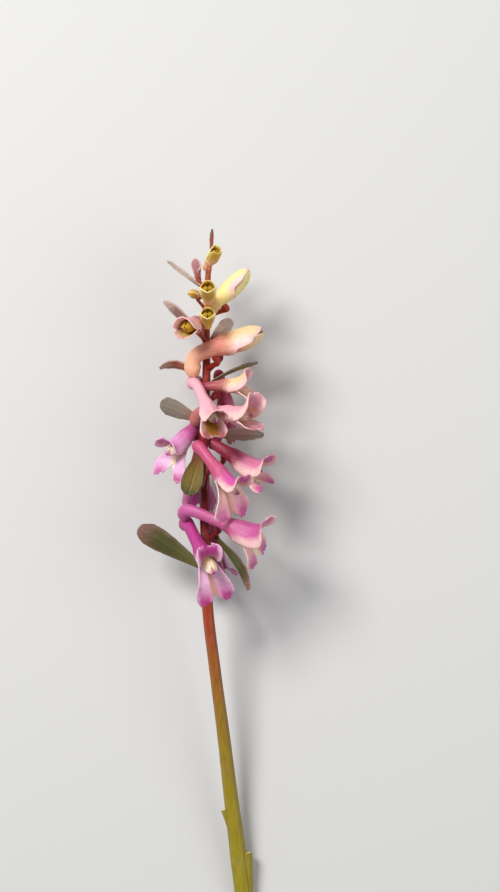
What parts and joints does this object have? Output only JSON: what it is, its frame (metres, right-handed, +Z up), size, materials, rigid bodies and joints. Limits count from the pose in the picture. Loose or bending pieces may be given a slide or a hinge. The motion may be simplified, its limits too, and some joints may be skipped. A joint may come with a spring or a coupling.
{
  "type": "corydalis flower spike",
  "caption": "Cut spike of corydalis lying down: a thin stem with spurred pink flowers, cream and olive buds at its tip, and small undivided bracts.",
  "frame": {"origin": "on the surface that the spike lies on, under the middle of its bounding box", "axes": "+Y along the spike from the cut end to the tip, +Z up, away from the surface"},
  "size_m": [0.0382, 0.1829, 0.0361],
  "materials": {
    "stem": "smooth juicy stem, dark red among the flowers, brown below them and olive green at the cut end",
    "flower_petals": "soft translucent petal, magenta and purple with pale lilac edges",
    "bud_petals": "soft translucent petal, yellow, cream and salmon with pink edges",
    "inner_petals": "cream inner petals, olive inside the buds",
    "bract": "thin leaf, olive and grey green with brown and mauve edges"
  },
  "bodies": {
    "root": {"bract_01": "bract", "bract_02": "bract", "bract_03": "bract", "bract_04": "bract", "bract_05": "bract", "bract_06": "bract", "bract_07": "bract", "bract_08": "bract", "bract_09": "bract", "bract_10": "bract", "bract_11": "bract", "bract_12": "bract", "bud_01_inner_petals": "inner_petals", "bud_01_outer_petals": "bud_petals", "bud_02_inner_petals": "inner_petals", "bud_02_outer_petals": "bud_petals", "bud_03_inner_petals": "inner_petals", "bud_03_outer_petals": "bud_petals", "bud_04_inner_petals": "inner_petals", "bud_04_outer_petals": "bud_petals", "bud_05": "bud_petals", "bud_06_inner_petals": "inner_petals", "bud_06_outer_petals": "bud_petals", "bud_07": "bud_petals", "bud_08": "bud_petals", "bud_09": "bud_petals", "flower_01_inner_petals": "inner_petals", "flower_01_outer_petals": "flower_petals", "flower_02_inner_petals": "inner_petals", "flower_02_outer_petals": "flower_petals", "flower_03_inner_petals": "inner_petals", "flower_03_outer_petals": "flower_petals", "flower_04_inner_petals": "inner_petals", "flower_04_outer_petals": "flower_petals", "flower_05_inner_petals": "inner_petals", "flower_05_outer_petals": "flower_petals", "flower_06_inner_petals": "inner_petals", "flower_06_outer_petals": "flower_petals", "flower_07_inner_petals": "inner_petals", "flower_07_outer_petals": "flower_petals", "flower_08_inner_petals": "inner_petals", "flower_08_outer_petals": "flower_petals", "flower_09_inner_petals": "inner_petals", "flower_09_outer_petals": "flower_petals", "flower_10_inner_petals": "inner_petals", "flower_10_outer_petals": "flower_petals", "flower_11_inner_petals": "inner_petals", "flower_11_outer_petals": "flower_petals", "flower_12_inner_petals": "inner_petals", "flower_12_outer_petals": "flower_petals", "stem": "stem"}
  },
  "joints": []
}
